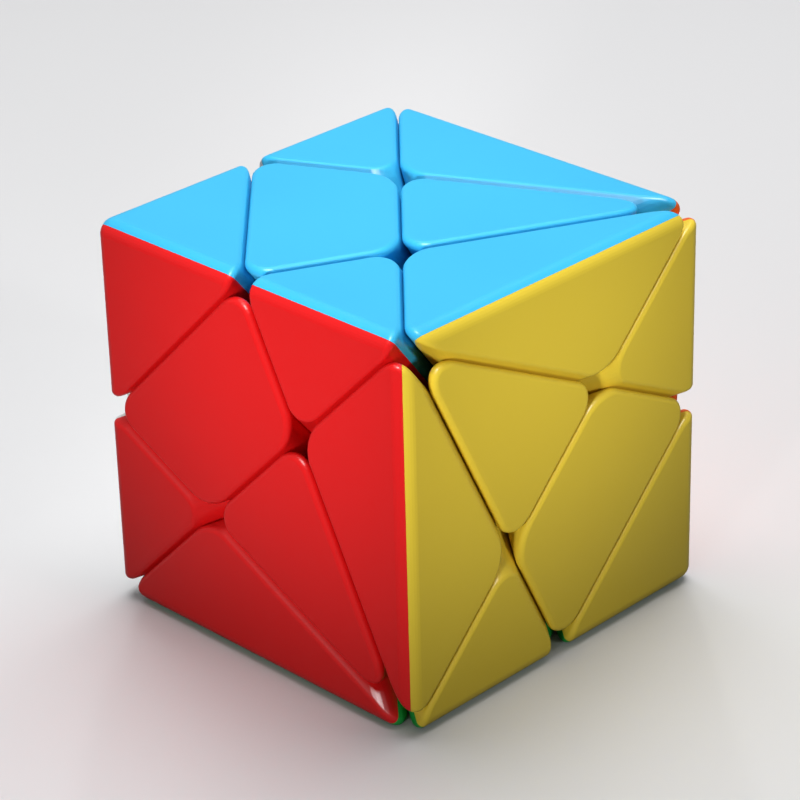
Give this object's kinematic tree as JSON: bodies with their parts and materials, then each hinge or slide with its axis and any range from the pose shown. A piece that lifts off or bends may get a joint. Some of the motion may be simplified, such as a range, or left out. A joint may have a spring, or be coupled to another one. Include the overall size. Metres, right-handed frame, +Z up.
{
  "type": "twisty puzzle cube",
  "caption": "Stickerless cube puzzle whose layers turn about axes leaning away from its faces, with hollow colour shells on sprung centres and an inner core.",
  "frame": {"origin": "centre of the solved cube, where the three turning axes cross", "axes": "+Z up out of the blue top face, -Y out of the red front face, +X out of the yellow right face"},
  "size_m": [0.057, 0.057, 0.057],
  "materials": {
    "blue_plastic": "satin",
    "red_plastic": "satin",
    "yellow_plastic": "satin",
    "white_plastic": "satin",
    "orange_plastic": "satin",
    "green_plastic": "satin",
    "inner_plastic": "matte",
    "core_plastic": "matte",
    "screw_steel": "satin",
    "washer_steel": "satin",
    "spring_steel": "satin"
  },
  "bodies": {
    "core_and_middle": {"core": "core_plastic", "screws": "screw_steel", "washers": "washer_steel", "springs": "spring_steel", "middle_edge_feet": "inner_plastic", "edge_left_white": "white_plastic", "edge_right_yellow": "yellow_plastic", "edge_top_back_blue": "blue_plastic", "edge_top_back_orange": "orange_plastic", "edge_bottom_front_green": "green_plastic", "edge_bottom_front_red": "red_plastic"},
    "top_front_layer": {"top_front_edge_feet": "inner_plastic", "top_front_corner_feet": "inner_plastic", "edge_top_blue": "blue_plastic", "edge_front_red": "red_plastic", "edge_top_right_blue": "blue_plastic", "edge_top_right_yellow": "yellow_plastic", "edge_front_right_red": "red_plastic", "edge_front_right_yellow": "yellow_plastic", "corner_top_front_left_blue": "blue_plastic", "corner_top_front_left_red": "red_plastic", "corner_top_front_left_white": "white_plastic", "spike_top_blue": "blue_plastic", "spike_front_red": "red_plastic", "spike_right_yellow": "yellow_plastic"},
    "bottom_back_layer": {"bottom_back_edge_feet": "inner_plastic", "bottom_back_corner_feet": "inner_plastic", "edge_bottom_green": "green_plastic", "edge_back_orange": "orange_plastic", "edge_bottom_left_green": "green_plastic", "edge_bottom_left_white": "white_plastic", "edge_back_left_orange": "orange_plastic", "edge_back_left_white": "white_plastic", "corner_bottom_back_right_green": "green_plastic", "corner_bottom_back_right_orange": "orange_plastic", "corner_bottom_back_right_yellow": "yellow_plastic", "spike_bottom_green": "green_plastic", "spike_back_orange": "orange_plastic", "spike_left_white": "white_plastic"},
    "front_left_center": {"base_front_left": "inner_plastic", "center_front_left_red": "red_plastic", "center_front_left_white": "white_plastic"},
    "right_back_center": {"base_right_back": "inner_plastic", "center_right_back_yellow": "yellow_plastic", "center_right_back_orange": "orange_plastic"},
    "top_front_center": {"base_top_front": "inner_plastic", "center_top_front_blue": "blue_plastic", "center_top_front_red": "red_plastic"},
    "bottom_back_center": {"base_bottom_back": "inner_plastic", "center_bottom_back_green": "green_plastic", "center_bottom_back_orange": "orange_plastic"},
    "top_left_center": {"base_top_left": "inner_plastic", "center_top_left_blue": "blue_plastic", "center_top_left_white": "white_plastic"},
    "bottom_right_center": {"base_bottom_right": "inner_plastic", "center_bottom_right_green": "green_plastic", "center_bottom_right_yellow": "yellow_plastic"}
  },
  "joints": [
    {"name": "top_front_turn", "type": "hinge", "parent": "core_and_middle", "child": "top_front_layer", "pos_m": [0, 0, 0], "axis": [0.3333, -0.6667, 0.6667], "continuous": true},
    {"name": "bottom_back_turn", "type": "hinge", "parent": "core_and_middle", "child": "bottom_back_layer", "pos_m": [0, 0, 0], "axis": [-0.3333, 0.6667, -0.6667], "continuous": true},
    {"name": "front_left_lift", "type": "slide", "parent": "core_and_middle", "child": "front_left_center", "axis": [-0.6667, -0.6667, -0.3333], "range_m": [0, 0.0008], "stiffness_N_per_m": 1500, "springref_m": -0.001, "deforming": ["springs"]},
    {"name": "right_back_lift", "type": "slide", "parent": "core_and_middle", "child": "right_back_center", "axis": [0.6667, 0.6667, 0.3333], "range_m": [0, 0.0008], "stiffness_N_per_m": 1500, "springref_m": -0.001, "deforming": ["springs"]},
    {"name": "top_front_lift", "type": "slide", "parent": "top_front_layer", "child": "top_front_center", "axis": [0.3333, -0.6667, 0.6667], "range_m": [0, 0.0008], "stiffness_N_per_m": 1500, "springref_m": -0.001, "deforming": ["springs"]},
    {"name": "bottom_back_lift", "type": "slide", "parent": "bottom_back_layer", "child": "bottom_back_center", "axis": [-0.3333, 0.6667, -0.6667], "range_m": [0, 0.0008], "stiffness_N_per_m": 1500, "springref_m": -0.001, "deforming": ["springs"]},
    {"name": "top_left_lift", "type": "slide", "parent": "core_and_middle", "child": "top_left_center", "axis": [-0.6667, 0.3333, 0.6667], "range_m": [0, 0.0008], "stiffness_N_per_m": 1500, "springref_m": -0.001, "deforming": ["springs"]},
    {"name": "bottom_right_lift", "type": "slide", "parent": "core_and_middle", "child": "bottom_right_center", "axis": [0.6667, -0.3333, -0.6667], "range_m": [0, 0.0008], "stiffness_N_per_m": 1500, "springref_m": -0.001, "deforming": ["springs"]}
  ]
}
